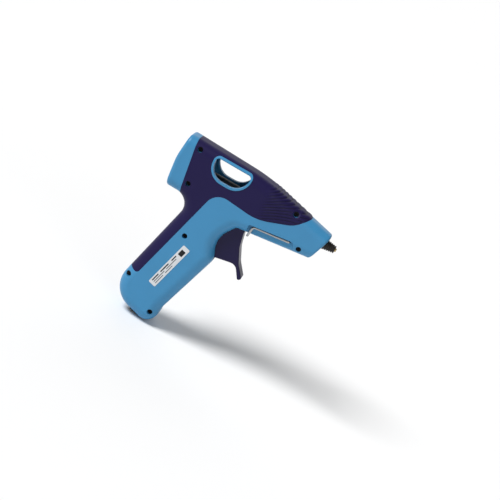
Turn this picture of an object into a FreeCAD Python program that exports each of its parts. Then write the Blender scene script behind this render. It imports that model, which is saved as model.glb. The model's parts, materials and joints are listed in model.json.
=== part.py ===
import FreeCAD, Part
import math
import os

# Hot-melt glue gun for thin sticks. Millimetres and degrees.
# +X runs along the barrel towards the nozzle, +Z is up, +Y is the tool's left side.
# The origin is the middle of the nozzle's outlet, so the barrel's axis is the X axis.

V = FreeCAD.Vector

# ---- glue stick and barrel ----
STICK_D = 7.2
STICK_GAP = 0.3
GUIDE_WALL = 1.0

# ---- casing ----
BODY_WIDTH = 27.0
NOSE_WIDTH = 20.0
TAPER_AHEAD = 10.0
SHOULDER_R = 8.5
WALL = 2.0
GRIP_T = 1.1
NOSE_EDGE_R = 2.0
REAR_EDGE_R = 2.5

# ---- outline of the barrel, seen from the side ----
TOP_REAR_Z = 23.3
TOP_BEND_Z = 21.6
NOSE_TOP_Z = 9.2
NOSE_LOW_Z = -15.8
BELLY_Z = -21.6
CAP_LOW_Z = -19.8
CAP_DEPTH = 13.9
REAR_BULGE = 5.2
CAP_LEAN = 7.6
LIP_T = 1.3
LIP_REACH = 2.5
NOSE_LEAN = 17.8

# ---- handle ----
HANDLE_LENGTH = 97.0
HANDLE_DEPTH = 41.5
HANDLE_RAKE = 14.8
WEB_R = 10.8
HEEL_R = 20.0
CHIN_R = 9.5
TOE_FLARE = 3.6
BACK_STRIP = 9.1
BACK_STRIP_LENGTH = 70.5

# ---- nozzle, melt chamber and heater ----
NOZZLE_REACH = 10.0
OUTLET_R = 0.9
TIP_R = 1.3
SLEEVE_TIP_R = 2.8
SLEEVE_BASE_R = 4.5
SLEEVE_GAP = 0.2
CHAMBER_R = 6.2
CHAMBER_LENGTH = 31.5
PAD_STANDOFF = 0.7
PAD_HALF = 5.2
PAD_DEPTH = 1.8
NECK_R = 4.9
NECK_LENGTH = 6.0
NOZZLE_SEAT = 8.5
SPIGOT_R = 2.6
RING_T = 1.4
RING_LENGTH = 2.5
RIB_T = 1.5
INLET_SLEEVE_WALL = 1.7
INLET_SLEEVE_LENGTH = 12.5
PTC_LENGTH = 18.0
PTC_WIDTH = 9.0
PTC_T = 2.0
PLATE_T = 0.4
FILM_T = 0.3
STRAP_T = 0.5
STRAP_GAP = 0.1
STRAP_LENGTH = 12.0
FUSE_R = 1.6

# ---- feed: trigger, carriage and jaw ----
PULL_ANGLE = 25.0
PIVOT_DROP = 14.5
PIVOT_R = 1.5
PIVOT_BOSS_WALL = 1.9
HUB_R = 3.0
RUNNING_GAP = 0.05
SIDE_GAP = 0.3
CARRIAGE_LENGTH = 8.0
CARRIAGE_WALL = 1.3
TRUNNION_R = 1.2
TRUNNION_GAP = 0.1
ARM_T = 1.8
ARM_WIDTH = 5.2
TRIGGER_WIDTH = 12.0
TRIGGER_GAP = 0.4
TRIGGER_EDGE_R = 0.9
JAW_WIDTH = 4.0
JAW_GAP = 0.2
JAW_CHEEK = 1.4
JAW_PIN_R = 0.8
RAIL_T = 1.2
RAIL_ROOM = 0.4
RAIL_GAP = 0.2
SPRING_WIRE_R = 0.4
SPRING_TURNS = 5
SPRING_HUB_GAP = 0.35

# ---- wire stand ----
STAND_WIRE_R = 0.95
STAND_REACH = 28.5
STAND_FALL = 8.4
STAND_BEND_R = 2.6
STAND_GRIP = 2.2
STAND_ROOM = 0.425

# ---- screws and cord inlet ----
SCREW_R = 1.25
SCREW_HEAD_R = 1.95
SCREW_HEAD_T = 1.5
SCREW_SINK = 5.0
SCREW_HEAD_GAP = 0.15
SCREW_TIP_SHORT = 0.5
DRIVE_HALF = 1.3
DRIVE_SLOT = 0.25
DRIVE_DEPTH = 0.9
SMALL_SCREW_R = 0.9
SMALL_HEAD_R = 1.7
SMALL_HEAD_T = 1.0
BOSS_R = 3.3
CORD_R = 2.9
GLAND_R = 4.0
GLAND_FLANGE_R = 4.8
LEAD_R = 0.8
LEAD_ROOM = 0.4
LEAD_BENDS = (4.0, 4.0, 8.0, 8.0, 8.0, 6.0, 2.5)

# ---- window ----
WINDOW_LENGTH = 29.4
WINDOW_TOP_Z = 18.9
WINDOW_LOW_Z = 4.1
WINDOW_RIM = 1.6
WINDOW_RIM_DEPTH = 3.2

# ---- rating label ----
LABEL_LENGTH = 40.0
LABEL_WIDTH = 6.4
LABEL_T = 0.15
LABEL_DOWN = 48.2
LABEL_ACROSS = 22.6

# ---- sizes worked out from those above ----
HALF = BODY_WIDTH / 2
NOSE_HALF = NOSE_WIDTH / 2
STICK_BORE_R = STICK_D / 2 + STICK_GAP
GUIDE_R = STICK_BORE_R + GUIDE_WALL
INSIDE = HALF - WALL

NOSE_X = -NOZZLE_REACH
CHAMBER_FRONT = -(NOZZLE_REACH + NOZZLE_SEAT)
CHAMBER_REAR = CHAMBER_FRONT - CHAMBER_LENGTH
NECK_REAR = CHAMBER_REAR - NECK_LENGTH
SLEEVE_REAR = CHAMBER_REAR - 1.0 - INLET_SLEEVE_LENGTH
INLET_SLEEVE_R = NECK_R + INLET_SLEEVE_WALL
STRAP_OUTSIDE = CHAMBER_R + STRAP_GAP + STRAP_T
FRONT_RING_X = CHAMBER_FRONT - 1.0 - RING_LENGTH
REAR_RING_X = SLEEVE_REAR + 2.5

SWING = math.radians(PULL_ANGLE / 2)
STROKE = 2 * PIVOT_DROP * math.tan(SWING)
CARRIAGE_X = SLEEVE_REAR - 2.0 - STROKE - CARRIAGE_LENGTH / 2
PIVOT_X = CARRIAGE_X + STROKE / 2
PIVOT_Z = -PIVOT_DROP
CARRIAGE_R = STICK_BORE_R + CARRIAGE_WALL
ARM_IN = CARRIAGE_R + SIDE_GAP
ARM_OUT = ARM_IN + ARM_T

WINDOW_FRONT = PIVOT_X - 7.5
WINDOW_REAR = WINDOW_FRONT - WINDOW_LENGTH
GUIDE_FRONT = CARRIAGE_X - CARRIAGE_LENGTH / 2 - 0.5
ROOT_X = PIVOT_X - 38.4
CAP_X = ROOT_X - 9.5
REAR_X = CAP_X - CAP_DEPTH
BIG = 60.0


# ---- helpers ----
def grip(down, across):
    """A point of the handle: down its back from the root, and forwards across it."""
    rake = math.radians(HANDLE_RAKE)
    x = ROOT_X - down * math.sin(rake) + across * math.cos(rake)
    z = CAP_LOW_Z - down * math.cos(rake) - across * math.sin(rake)
    return x, z


def rounded(corners):
    """Closed wire in the XZ plane: corners (x, z, radius), joined by tangent arcs."""
    spans = []
    edges = []
    for i, (x, z, radius) in enumerate(corners):
        here = V(x, 0, z)
        back = corners[i - 1]
        ahead = corners[(i + 1) % len(corners)]
        to_back = (V(back[0], 0, back[1]) - here).normalize()
        to_ahead = (V(ahead[0], 0, ahead[1]) - here).normalize()
        if radius == 0:
            spans.append((here, here, None))
            continue
        half = to_back.getAngle(to_ahead) / 2
        reach = radius / math.tan(half)
        middle = here + (to_back + to_ahead).normalize() * (radius / math.sin(half) - radius)
        start = here + to_back * reach
        stop = here + to_ahead * reach
        spans.append((start, stop, Part.Arc(start, middle, stop).toShape()))
    for i, (start, stop, arc) in enumerate(spans):
        if arc:
            edges.append(arc)
        following = spans[(i + 1) % len(spans)][0]
        if stop.distanceToPoint(following) > 1e-6:
            edges.append(Part.makeLine(stop, following))
    return Part.Wire(edges)


def plate(wire, low, high):
    """The wire's face, drawn out along Y from low to high."""
    face = Part.Face(wire)
    face.translate(V(0, low, 0))
    return face.extrude(V(0, high - low, 0))


def slab(corners, low, high):
    return plate(rounded(corners), low, high)


def box(x0, x1, y0, y1, z0, z1):
    return Part.makeBox(x1 - x0, y1 - y0, z1 - z0, V(x0, y0, z0))


def rod_x(radius, x0, x1, y=0.0, z=0.0):
    return Part.makeCylinder(radius, x1 - x0, V(x0, y, z), V(1, 0, 0))


def rod_y(radius, y0, y1, x, z):
    return Part.makeCylinder(radius, y1 - y0, V(x, y0, z), V(0, 1, 0))


def turned(profile):
    """Solid of revolution about the X axis from (x, radius) points."""
    points = [V(x, 0, r) for x, r in profile]
    face = Part.Face(Part.makePolygon(points + points[:1]))
    return face.revolve(V(0, 0, 0), V(1, 0, 0), 360)


def fused(first, *others):
    return first.fuse(list(others)).removeSplitter()


def round_path(points, bends):
    """Open wire of straight runs with a tangent arc at each inner point, of its own radius."""
    edges = []
    last = points[0]
    for before, here, after, bend_r in zip(points, points[1:], points[2:], bends):
        to_back = (before - here).normalize()
        to_ahead = (after - here).normalize()
        half = to_back.getAngle(to_ahead) / 2
        reach = bend_r / math.tan(half)
        middle = here + (to_back + to_ahead).normalize() * (bend_r / math.sin(half) - bend_r)
        start = here + to_back * reach
        stop = here + to_ahead * reach
        edges.append(Part.makeLine(last, start))
        edges.append(Part.Arc(start, middle, stop).toShape())
        last = stop
    edges.append(Part.makeLine(last, points[-1]))
    return Part.Wire(edges)


def tube_along(path, radius):
    start = path.OrderedEdges[0].valueAt(path.OrderedEdges[0].FirstParameter)
    aim = path.OrderedEdges[0].tangentAt(path.OrderedEdges[0].FirstParameter)
    ring = Part.Wire([Part.makeCircle(radius, start, aim)])
    return path.makePipeShell([ring], True, False)


# ---- outlines ----
def body_outline():
    """Side view of barrel and handle. It runs past both ends, which end_planes trims."""
    return rounded(
        [
            (REAR_X - 15.0, TOP_REAR_Z + 0.4, 0),
            (PIVOT_X + 2.6, TOP_BEND_Z, 140),
            (NOSE_X + 6.0, NOSE_TOP_Z - 1.7, 0),
            (NOSE_X + 6.0, NOSE_LOW_Z + 2.4, 0),
            (PIVOT_X + 0.5, BELLY_Z, 4),
            (PIVOT_X - 9.0, PIVOT_Z - 22.0, 18),
            (*grip(21.9, HANDLE_DEPTH + 1.6), CHIN_R),
            (*grip(HANDLE_LENGTH - 17.0, HANDLE_DEPTH - 0.6), 18),
            (*grip(HANDLE_LENGTH, HANDLE_DEPTH + TOE_FLARE), CHIN_R),
            (*grip(HANDLE_LENGTH, 1.6), HEEL_R),
            (ROOT_X, CAP_LOW_Z, WEB_R),
            (REAR_X - 15.0, CAP_LOW_Z, 0),
        ]
    )


def end_planes():
    """Side view of the leaning nose face and the bulging back, over the whole height."""
    lean = math.tan(math.radians(NOSE_LEAN))
    return rounded(
        [
            (NOSE_X + BIG * lean, BIG, 0),
            (NOSE_X - 3 * BIG * lean, -3 * BIG, 0),
            (REAR_X - BIG, -3 * BIG, 0),
            (REAR_X - BIG, CAP_LOW_Z - 30, 0),
            (REAR_X + 2.0, CAP_LOW_Z - 14.0, 0),
            (REAR_X - REAR_BULGE + 3.3, 3.6, 50),
            (REAR_X + 3.3, BIG, 0),
        ]
    )


def plan_block(inset):
    """Block with the top view's outline: full width over the handle, drawn in to the nose."""
    taper_from = PIVOT_X + TAPER_AHEAD
    front = NOSE_X + 8.0
    pull_in = (HALF - NOSE_HALF) * (front - taper_from) / (NOSE_X - taper_from)
    wide = HALF - inset
    narrow = wide - pull_in
    corners = [
        (REAR_X - BIG, -wide, 0),
        (taper_from, -wide, 80),
        (front, -narrow, 0),
        (front, narrow, 0),
        (taper_from, wide, 80),
        (REAR_X - BIG, wide, 0),
    ]
    block = slab(corners, -3 * BIG, 3 * BIG)
    block.rotate(V(0, 0, 0), V(1, 0, 0), 90)
    return block


def inward(wire, inset):
    return wire if inset == 0 else wire.makeOffset2D(-inset)


def long_edges(shape, inset):
    """Edges where a side face meets the drawn-out outline, away from the trimmed ends."""
    chosen = []
    for edge in shape.Edges:
        mid = edge.valueAt((edge.FirstParameter + edge.LastParameter) / 2)
        sideways = []
        for face in shape.ancestorsOfType(edge, Part.Face):
            u, v = face.Surface.parameter(mid)
            sideways.append(abs(face.normalAt(u, v).y))
        at_end = mid.x > NOSE_X + 3.0 or mid.x < REAR_X - 14.0 + inset
        if len(sideways) == 2 and min(sideways) < 0.2 and max(sideways) > 0.9 and not at_end:
            chosen.append(edge)
    return chosen


def end_edges(shape, way):
    """Edges round the nose face (way 1) or round the bulging back (way -1)."""
    chosen = []
    for edge in shape.Edges:
        mid = edge.valueAt((edge.FirstParameter + edge.LastParameter) / 2)
        facing = 0
        for face in shape.ancestorsOfType(edge, Part.Face):
            u, v = face.Surface.parameter(mid)
            facing += face.normalAt(u, v).x * way > 0.8
        near = mid.x * way > (NOSE_X - 8.0 if way == 1 else -CAP_X)
        if facing == 1 and near:
            chosen.append(edge)
    return chosen


def form(inset):
    """The casing's outer form, or the same form a wall thickness further in."""
    block = plate(inward(body_outline(), inset), -BIG, BIG)
    block = block.common(plan_block(inset))
    block = block.makeFillet(SHOULDER_R - inset, long_edges(block, inset))
    block = block.common(plate(inward(end_planes(), inset), -BIG, BIG))
    if inset == 0:
        block = block.makeFillet(NOSE_EDGE_R, end_edges(block, 1))
        block = block.makeFillet(REAR_EDGE_R, end_edges(block, -1))
    return block


def window_outline(grow):
    """D-shaped window with a straight top, or its rim outline when grown."""
    rear = WINDOW_REAR - grow
    front = WINDOW_FRONT + grow
    top = WINDOW_TOP_Z + grow
    low = WINDOW_LOW_Z - grow
    return rounded(
        [
            (rear, top, 2.5 + grow),
            (front, top, 2.5 + grow),
            (front - 0.6, low, 12.0 + grow),
            (rear + 1.4, low, 11.4 + grow),
        ]
    )


def grip_region():
    """Side view of the area that the soft skin covers."""
    return rounded(
        [
            (NOSE_X - 9.5, TOP_BEND_Z - 1.1, 0),
            (NOSE_X - 26.5, 2.6, 20),
            (PIVOT_X + 10.7, -7.0, 40),
            (ROOT_X + BACK_STRIP + 4.4, -4.2, 12),
            (*grip(BACK_STRIP_LENGTH, BACK_STRIP), 3),
            (*grip(BACK_STRIP_LENGTH, -BIG), 0),
            (REAR_X - BIG, BIG, 0),
            (NOSE_X - 9.5, BIG, 0),
        ]
    )


def cap_region():
    """Side view of everything behind the leaning joint of the rear cap."""
    return rounded(
        [
            (CAP_X - CAP_LEAN, BIG, 0),
            (CAP_X - CAP_LEAN, TOP_REAR_Z + 1.0, 0),
            (CAP_X + 0.3, CAP_LOW_Z - 8.0, 0),
            (REAR_X - BIG, CAP_LOW_Z - 8.0, 0),
            (REAR_X - BIG, BIG, 0),
        ]
    )


def half_width_at(x):
    taper_from = PIVOT_X + TAPER_AHEAD
    share = max(0.0, (x - taper_from) / (NOSE_X - taper_from))
    return HALF - (HALF - NOSE_HALF) * share


OUTER = form(0)
INNER = form(WALL)
UNDER_SKIN = form(GRIP_T)
REAR_FACE = OUTER.BoundBox.XMin
RIGHT = box(-4 * BIG, BIG, -BIG, 0, -3 * BIG, BIG)
LEFT = box(-4 * BIG, BIG, 0, BIG, -3 * BIG, BIG)
DOWN = V(-math.sin(math.radians(HANDLE_RAKE)), 0, -math.cos(math.radians(HANDLE_RAKE)))


def handle_rod(radius, start, stop, across, y=0.0):
    x, z = grip(start, across)
    return Part.makeCylinder(radius, stop - start, V(x, y, z), DOWN)


def handle_block(start, stop, back, front, y0, y1):
    corners = [grip(start, back), grip(start, front), grip(stop, front), grip(stop, back)]
    return slab([(x, z, 0) for x, z in corners], y0, y1)


# ---- screws that hold the two halves together ----
SCREW_PLACES = [
    (CAP_X - 2.4, TOP_REAR_Z - 6.0),
    (CAP_X + 1.6, CAP_LOW_Z + 10.3),
    grip(22.8, 15.0),
    grip(HANDLE_LENGTH - 21.2, 4.8),
    grip(HANDLE_LENGTH - 11.0, HANDLE_DEPTH - 5.0),
    (NOSE_X - 28.8, 10.9),
    (NOSE_X - 14.6, -11.1),
]


def screw_span(x):
    """Y of the seat under a screw's head, and of the screw's tip."""
    wide = half_width_at(x)
    return SCREW_SINK - wide, wide - SCREW_SINK - SCREW_TIP_SHORT


def case_screw(x, z):
    seat, tip = screw_span(x)
    head = rod_y(SCREW_HEAD_R, seat - SCREW_HEAD_T, seat, x, z)
    shank = rod_y(SCREW_R, seat, tip, x, z)
    top = seat - SCREW_HEAD_T
    floor = top + DRIVE_DEPTH
    slot = box(x - DRIVE_HALF, x + DRIVE_HALF, top, floor, z - DRIVE_SLOT, z + DRIVE_SLOT)
    cross = box(x - DRIVE_SLOT, x + DRIVE_SLOT, top, floor, z - DRIVE_HALF, z + DRIVE_HALF)
    return head.fuse(shank).removeSplitter().cut([slot, cross])


def screw_hole(x, z):
    seat, tip = screw_span(x)
    recess = rod_y(SCREW_HEAD_R + SCREW_HEAD_GAP, -BIG, seat, x, z)
    return recess.fuse(rod_y(SCREW_R, seat, tip, x, z))


# ---- wire stand ----
STAND_X = NOSE_X - 23.0
STAND_Z = -9.9
LEG_Y = half_width_at(STAND_X) - STAND_WIRE_R
REBATE_Y = LEG_Y - STAND_WIRE_R - 0.2
STAND_END_Y = max(REBATE_Y - STAND_GRIP, STRAP_OUTSIDE + STAND_ROOM)
BACKING_Y = STAND_END_Y + 0.6
STAND_LEG_DROP = 3.7
STAND_BOSS_WALL = 1.5


def wire_stand():
    """Bent wire: a short pivot end, a leg, a drop, the cross bar, and the same back again."""
    rear = STAND_X - STAND_REACH
    half = [
        V(STAND_X, STAND_END_Y, STAND_Z),
        V(STAND_X, LEG_Y, STAND_Z),
        V(rear, LEG_Y, STAND_Z - STAND_LEG_DROP),
        V(rear - 0.8, LEG_Y, STAND_Z - STAND_LEG_DROP - STAND_FALL),
    ]
    other = [V(p.x, -p.y, p.z) for p in reversed(half)]
    bends = [STAND_WIRE_R + 0.2, STAND_BEND_R, STAND_BEND_R]
    return tube_along(round_path(half + other, bends + bends[::-1]), STAND_WIRE_R)


def rebate_region(grow):
    """Side view of the recess along the nose's lower edge where the stand folds away."""
    rear = STAND_X - STAND_REACH - 3.4 - grow
    return [
        (STAND_X + 2.4 + grow, STAND_Z + 1.6 + grow, 1.2),
        (STAND_X + 6.4 + grow, STAND_Z - 6.5, 0),
        (STAND_X + 6.4 + grow, -BIG, 0),
        (rear, -BIG, 0),
        (rear, STAND_Z + 1.4 + grow - STAND_LEG_DROP - 0.5, 1.2),
    ]


# ---- leads from the terminal block to the heater ----
BLOCK_TOP = 50.0
BLOCK_LENGTH = 10.0
BLOCK_BACK = 15.0
BLOCK_FRONT = 28.0
BLOCK_HALF = 4.5
HEATER_FRONT = CHAMBER_FRONT - 10.5
HEATER_REAR = HEATER_FRONT - PTC_LENGTH
PAD_Z = -(CHAMBER_R + PAD_STANDOFF)
PLATE_REAR = HEATER_REAR - 2.6
LEAD_Y = INSIDE - LEAD_R - 1.3
UPPER_PLATE_Z = PAD_Z - FILM_T - PLATE_T / 2
LOWER_PLATE_Z = UPPER_PLATE_Z - PLATE_T - PTC_T


def lead_path(side, end_z):
    """Centre line of one lead, along the inside of one half of the casing."""
    x0, z0 = grip(BLOCK_TOP, 22.0)
    x1, z1 = grip(BLOCK_TOP - 6.0, 22.0)
    x2, z2 = grip(BLOCK_TOP - 14.0, 23.0)
    x3, z3 = grip(13.0, 22.5)
    points = [
        V(x0, side * 2.2, z0),
        V(x1, side * 2.2, z1),
        V(x2, side * LEAD_Y, z2),
        V(x3, side * LEAD_Y, z3),
        V(PIVOT_X - 12.0, side * LEAD_Y, -8.0),
        V(SLEEVE_REAR + 2.0, side * LEAD_Y, -7.0),
        V(PLATE_REAR - 7.0, side * (LEAD_Y - 0.6), -7.6),
        V(PLATE_REAR - 3.0, side * 3.0, end_z),
        V(PLATE_REAR, side * 3.0, end_z),
    ]
    return round_path(points, LEAD_BENDS)


LEADS = {"live_lead": (-1, LOWER_PLATE_Z), "neutral_lead": (1, UPPER_PLATE_Z)}


def leads():
    return {name: tube_along(lead_path(*ends), LEAD_R) for name, ends in LEADS.items()}


def lead_ways():
    """The leads' routes, wide enough for the ribs that they pass to clear them."""
    return [tube_along(lead_path(*ends), LEAD_R + LEAD_ROOM) for ends in LEADS.values()]


# ---- casing ----
def soft_skin():
    """Both halves of the soft skin in one piece, with the window's rim left bare."""
    skin = OUTER.cut(UNDER_SKIN).common(plate(grip_region(), -BIG, BIG))
    bare = [plate(cap_region(), -BIG, BIG), plate(window_outline(WINDOW_RIM), -BIG, BIG)]
    holes = [rod_y(SCREW_HEAD_R + SCREW_HEAD_GAP, -BIG, -1, x, z) for x, z in SCREW_PLACES]
    return skin.cut(bare + holes)


def ribs():
    """Ribs and rails inside the casing that hold the barrel's parts."""
    rail_rear = CARRIAGE_X - CARRIAGE_LENGTH / 2 - 1.0
    rail_front = rail_rear + CARRIAGE_LENGTH + STROKE + 2.0
    pieces = [
        box(FRONT_RING_X + 0.5, FRONT_RING_X + 0.5 + RIB_T, -BIG, BIG, -BIG, BIG),
        box(REAR_RING_X + 0.5, REAR_RING_X + 0.5 + RIB_T, -BIG, BIG, -13.0, 13.0),
        box(REAR_FACE + 18.0, REAR_FACE + 19.6, -BIG, BIG, -7.6, 10.0),
        box(GUIDE_FRONT - 4.0, GUIDE_FRONT - 2.4, -BIG, BIG, -9.0, 3.4),
    ]
    for side in (-1, 1):
        y0, y1 = sorted((side * (ARM_OUT + RAIL_ROOM), side * BIG))
        for z in (WING_LOW - RAIL_GAP - RAIL_T, WING_HIGH + RAIL_GAP):
            pieces.append(box(rail_rear, rail_front, y0, y1, z, z + RAIL_T))
    pieces[0] = pieces[0].cut(rod_x(CHAMBER_R + RING_T, -BIG, 0))
    return [piece.common(INNER) for piece in pieces]


def bosses():
    """Screw bosses, the trigger pin's bosses, and the stand's backing and bosses."""
    pieces = [rod_y(BOSS_R, -HALF, HALF, x, z) for x, z in SCREW_PLACES]
    backing = slab(rebate_region(1.2), -BIG, BIG)
    for side in (-1, 1):
        y0, y1 = sorted((side * (ARM_OUT + SIDE_GAP), side * HALF))
        pieces.append(rod_y(PIVOT_R + PIVOT_BOSS_WALL, y0, y1, PIVOT_X, PIVOT_Z))
        y0, y1 = sorted((side * BACKING_Y, side * REBATE_Y))
        pieces.append(backing.common(box(-4 * BIG, BIG, y0, y1, -BIG, BIG)))
        y0, y1 = sorted((side * (STAND_END_Y - 0.4), side * REBATE_Y))
        pieces.append(rod_y(STAND_WIRE_R + STAND_BOSS_WALL, y0, y1, STAND_X, STAND_Z))
    pieces.append(handle_block(BLOCK_TOP + 1.0, BLOCK_TOP + 9.0, 18.0, 26.0, BLOCK_HALF, HALF))
    for across in CLAMP_POSTS:
        x, z = grip(CLAMP_DOWN, across)
        pieces.append(rod_y(2.3, CLAMP_Y, HALF, x, z))
    return [piece.common(OUTER) for piece in pieces]


def casing_cuts():
    """Everything taken out of the casing: openings, holes, recesses and clearances."""
    slot_half = TRIGGER_WIDTH / 2 + TRIGGER_GAP
    cuts = [
        plate(window_outline(0), -BIG, BIG),
        rod_x(GUIDE_R, -3 * BIG, GUIDE_FRONT + 0.5),
        rod_x(INLET_SLEEVE_R + RING_T, SLEEVE_REAR - 1.0, SLEEVE_REAR + 9.0),
        rod_x(SLEEVE_BASE_R + SLEEVE_GAP, CHAMBER_FRONT + 1.0, 0),
        rod_x(CHAMBER_R + RING_T, FRONT_RING_X, FRONT_RING_X + RING_LENGTH),
        box(PIVOT_X - 24, PIVOT_X + 9.4, -slot_half, slot_half, PIVOT_Z - 38.1, PIVOT_Z + 2.5),
        rod_y(PIVOT_R, -INSIDE, INSIDE, PIVOT_X, PIVOT_Z),
        handle_rod(GLAND_R, HANDLE_LENGTH - WALL - 2.0, HANDLE_LENGTH + 2.0, GLAND_ACROSS),
    ]
    for side in (-1, 1):
        y0, y1 = sorted((side * REBATE_Y, side * BIG))
        cuts.append(slab(rebate_region(0), y0, y1))
        y0, y1 = sorted((side * (STAND_END_Y - 1.0), side * REBATE_Y))
        cuts.append(rod_y(STAND_WIRE_R + RUNNING_GAP, y0, y1, STAND_X, STAND_Z))
    for across in CLAMP_POSTS:
        x, z = grip(CLAMP_DOWN, across)
        cuts.append(rod_y(SMALL_SCREW_R, CLAMP_Y - 1.0, CLAMP_Y + CLAMP_SCREW_REACH + 1.0, x, z))
    return cuts + [screw_hole(x, z) for x, z in SCREW_PLACES] + lead_ways()


def casing(skin):
    """The whole hard casing, before it is split and its rear cap is taken off."""
    rim = plate(window_outline(WINDOW_RIM), -BIG, BIG).common(OUTER).cut(form(WINDOW_RIM_DEPTH))
    walls = OUTER.cut(INNER)
    solid = walls.fuse([rim] + ribs() + bosses())
    return solid.cut([skin, plate(cap_region(), -BIG, BIG)] + casing_cuts())


def rear_cap():
    """Rear cap with a lip that fits inside the casing, and the seat for the inlet bush."""
    behind = plate(cap_region(), -BIG, BIG)
    wall = OUTER.cut(INNER).common(behind)
    core = form(WALL + LIP_T)
    lip = INNER.cut(core).common(behind)
    reach = plate(cap_region(), -BIG, BIG)
    reach.translate(V(LIP_REACH, 0, 0))
    lip = lip.fuse(form(WALL + 0.1).cut(core).common(reach))
    lip = lip.cut(box(-4 * BIG, CAP_X - CAP_LEAN - 3.0, -BIG, BIG, -BIG, BIG))
    seats = [
        rod_x(BUSH_COLLAR_R, REAR_FACE - 5.0, REAR_FACE + BUSH_COLLAR_DEPTH),
        rod_x(BUSH_R, REAR_FACE, REAR_FACE + 9.0),
    ]
    seats += [rod_y(BOSS_R + 0.1, -BIG, BIG, x, z) for x, z in SCREW_PLACES]
    return wall.fuse(lip).cut(seats)


# ---- inlet and guide ----
BUSH_R = 6.0
BUSH_COLLAR_R = 7.0
BUSH_BORE_R = STICK_BORE_R + 0.2
BUSH_COLLAR_DEPTH = 1.3
BUSH_LAND = 5.0
BUSH_LAND_X = REAR_FACE + 1.0


def inlet_bush():
    mouth = REAR_FACE + 0.3
    end = BUSH_LAND_X + BUSH_LAND
    return turned(
        [
            (mouth, BUSH_BORE_R + 0.8),
            (mouth, BUSH_COLLAR_R - 0.4),
            (mouth + 0.4, BUSH_COLLAR_R),
            (REAR_FACE + BUSH_COLLAR_DEPTH, BUSH_COLLAR_R),
            (REAR_FACE + BUSH_COLLAR_DEPTH, BUSH_R),
            (end + 3.0, BUSH_R),
            (end + 3.0, GUIDE_R),
            (end, GUIDE_R),
            (end, BUSH_BORE_R),
            (BUSH_LAND_X, BUSH_BORE_R),
        ]
    )


def stick_guide():
    rear = BUSH_LAND_X + BUSH_LAND
    return rod_x(GUIDE_R, rear, GUIDE_FRONT).cut(rod_x(STICK_BORE_R, rear, GUIDE_FRONT))


# ---- melt chamber and nozzle ----
NOZZLE_SHOULDER = NOSE_X - 4.0
FLANGE_FRONT = NOZZLE_SHOULDER + 2.0
SPIGOT_END = CHAMBER_FRONT - 2.0
CONE_BASE_R = 3.2
TIP_LENGTH = 2.2
TIP_FLARE = 0.5
FLANGE_R = 4.2
FLANGE_GAP = 0.2
SPIGOT_WALL = 0.8


def nozzle():
    return turned(
        [
            (0, OUTLET_R),
            (0, TIP_R),
            (-TIP_LENGTH, TIP_R + TIP_FLARE),
            (FLANGE_FRONT, CONE_BASE_R),
            (FLANGE_FRONT, FLANGE_R),
            (NOZZLE_SHOULDER, FLANGE_R),
            (NOZZLE_SHOULDER, SPIGOT_R),
            (SPIGOT_END, SPIGOT_R),
            (SPIGOT_END, SPIGOT_R - SPIGOT_WALL),
            (NOZZLE_SHOULDER, SPIGOT_R - SPIGOT_WALL),
            (-3.0, OUTLET_R),
        ]
    )


def nozzle_sleeve():
    """Tapered boot with rings moulded round it."""
    front = -TIP_LENGTH / 2
    back = FLANGE_FRONT
    slope = (SLEEVE_BASE_R - SLEEVE_TIP_R) / (NOSE_X - 1.0 - front)
    rings = 5
    pitch = (NOSE_X + 1.0 - front) / rings
    outline = []
    for i in range(rings):
        at = front + i * pitch
        radius = SLEEVE_TIP_R + slope * (at - front)
        wider = SLEEVE_TIP_R + slope * (at + 0.6 * pitch - front)
        outline += [(at, radius), (at + 0.6 * pitch, wider)]
        outline += [(at + 0.65 * pitch, wider - 0.4), (at + 0.95 * pitch, wider - 0.4)]
    outline += [(NOSE_X + 1.0, SLEEVE_BASE_R - 0.4), (NOSE_X - 1.0, SLEEVE_BASE_R), (back, SLEEVE_BASE_R)]
    outline += [(back, CONE_BASE_R), (-TIP_LENGTH, TIP_R + TIP_FLARE), (front, TIP_R + TIP_FLARE / 2)]
    return turned(outline)


def melt_chamber():
    body = turned(
        [
            (NOZZLE_SHOULDER, SPIGOT_R),
            (NOZZLE_SHOULDER, FLANGE_R + FLANGE_GAP),
            (CHAMBER_FRONT, FLANGE_R + FLANGE_GAP),
            (CHAMBER_FRONT, CHAMBER_R),
            (CHAMBER_REAR, CHAMBER_R),
            (CHAMBER_REAR, NECK_R),
            (NECK_REAR, NECK_R),
            (NECK_REAR, STICK_BORE_R),
            (CHAMBER_FRONT - 9.0, STICK_BORE_R),
            (SPIGOT_END, SPIGOT_R - 0.6),
            (SPIGOT_END, SPIGOT_R),
        ]
    )
    pad = box(HEATER_REAR - 0.5, HEATER_FRONT + 0.5, -PAD_HALF, PAD_HALF, PAD_Z, PAD_DEPTH - CHAMBER_R)
    return body.fuse(pad.cut(rod_x(CHAMBER_R - 0.5, -BIG, 0))).removeSplitter()


def inlet_sleeve():
    return turned(
        [
            (SLEEVE_REAR, STICK_BORE_R + 1.0),
            (SLEEVE_REAR, INLET_SLEEVE_R),
            (CHAMBER_REAR - 1.0, INLET_SLEEVE_R),
            (CHAMBER_REAR - 1.0, NECK_R),
            (NECK_REAR, NECK_R),
            (NECK_REAR, STICK_BORE_R),
            (SLEEVE_REAR + 1.5, STICK_BORE_R),
        ]
    )


def chamber_rings():
    rings = []
    for x, radius in ((FRONT_RING_X, CHAMBER_R), (REAR_RING_X, INLET_SLEEVE_R)):
        rings.append(rod_x(radius + RING_T, x, x + RING_LENGTH).cut(rod_x(radius, x, x + RING_LENGTH)))
    return Part.makeCompound(rings)


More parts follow.
